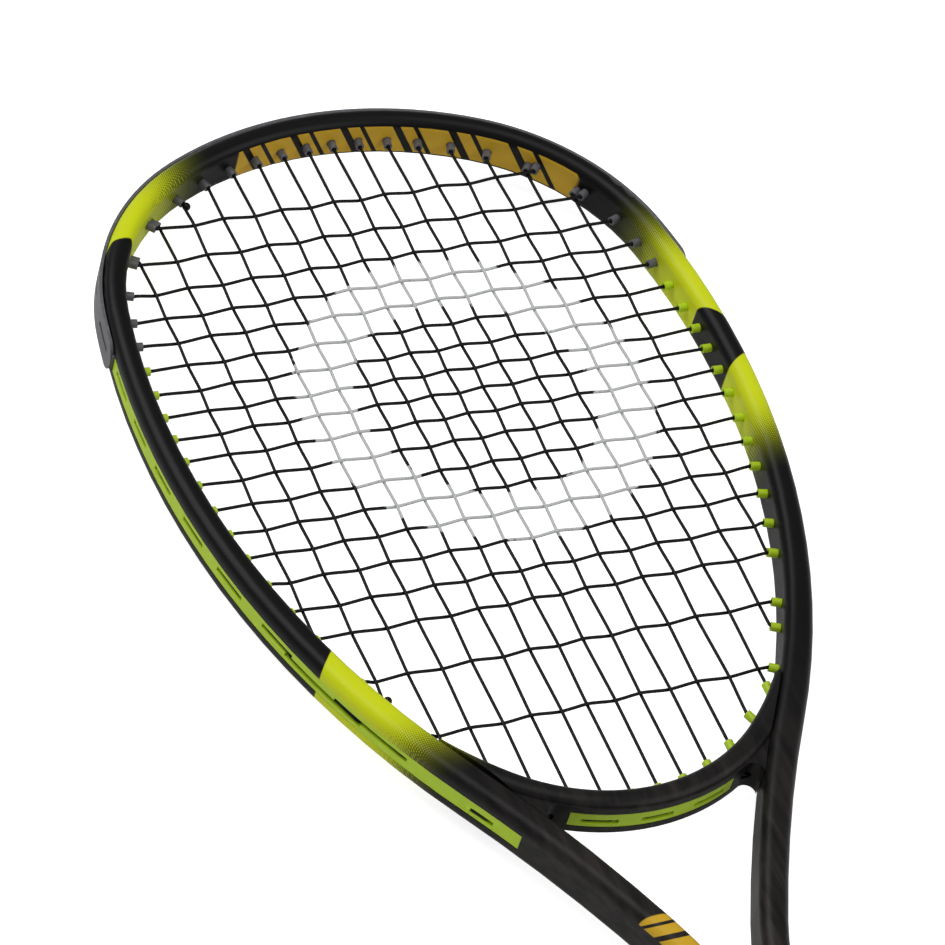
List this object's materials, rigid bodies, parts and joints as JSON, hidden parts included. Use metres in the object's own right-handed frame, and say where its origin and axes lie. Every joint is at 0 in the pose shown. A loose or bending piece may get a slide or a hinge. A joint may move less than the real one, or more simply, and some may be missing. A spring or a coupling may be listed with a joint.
{
  "type": "squash racket",
  "caption": "Squash racket with an oval strung head, forked throat with a bowed bridge, slim shaft and wrapped handle.",
  "frame": {"origin": "middle of the length and width, at the height of the lowest point, with the racket lying flat", "axes": "+Y from the butt to the tip of the head, +Z out of the string bed, +X across the head"},
  "size_m": [0.2158, 0.686, 0.031],
  "materials": {
    "carbon": "satin clear coat over black carbon fibre",
    "bumper_nylon": "moulded nylon, fine grain",
    "lime_nylon": "moulded nylon, lime green",
    "string": "twisted synthetic string, black",
    "handle_foam": "moulded polyurethane foam",
    "cap_plastic": "soft moulded plastic",
    "badge": "printed domed disc, plain",
    "grip": "perforated synthetic leather",
    "tape": "vinyl tape",
    "rubber": "soft rubber",
    "steel": "bright wire"
  },
  "bodies": {
    "root": {"frame": "carbon", "throat_bridge": "carbon", "bumper_guard": "bumper_nylon", "left_grommet_strip": "lime_nylon", "right_grommet_strip": "lime_nylon", "bridge_grommet_strip": "lime_nylon", "corner_grommets": "lime_nylon", "centre_string": "string", "outer_string": "string", "handle_shell_front": "handle_foam", "handle_shell_back": "handle_foam", "butt_cap": "cap_plastic", "butt_badge": "badge", "cap_staples": "steel", "base_grip": "grip", "finishing_tape": "tape", "grip_collar": "rubber"}
  },
  "joints": []
}
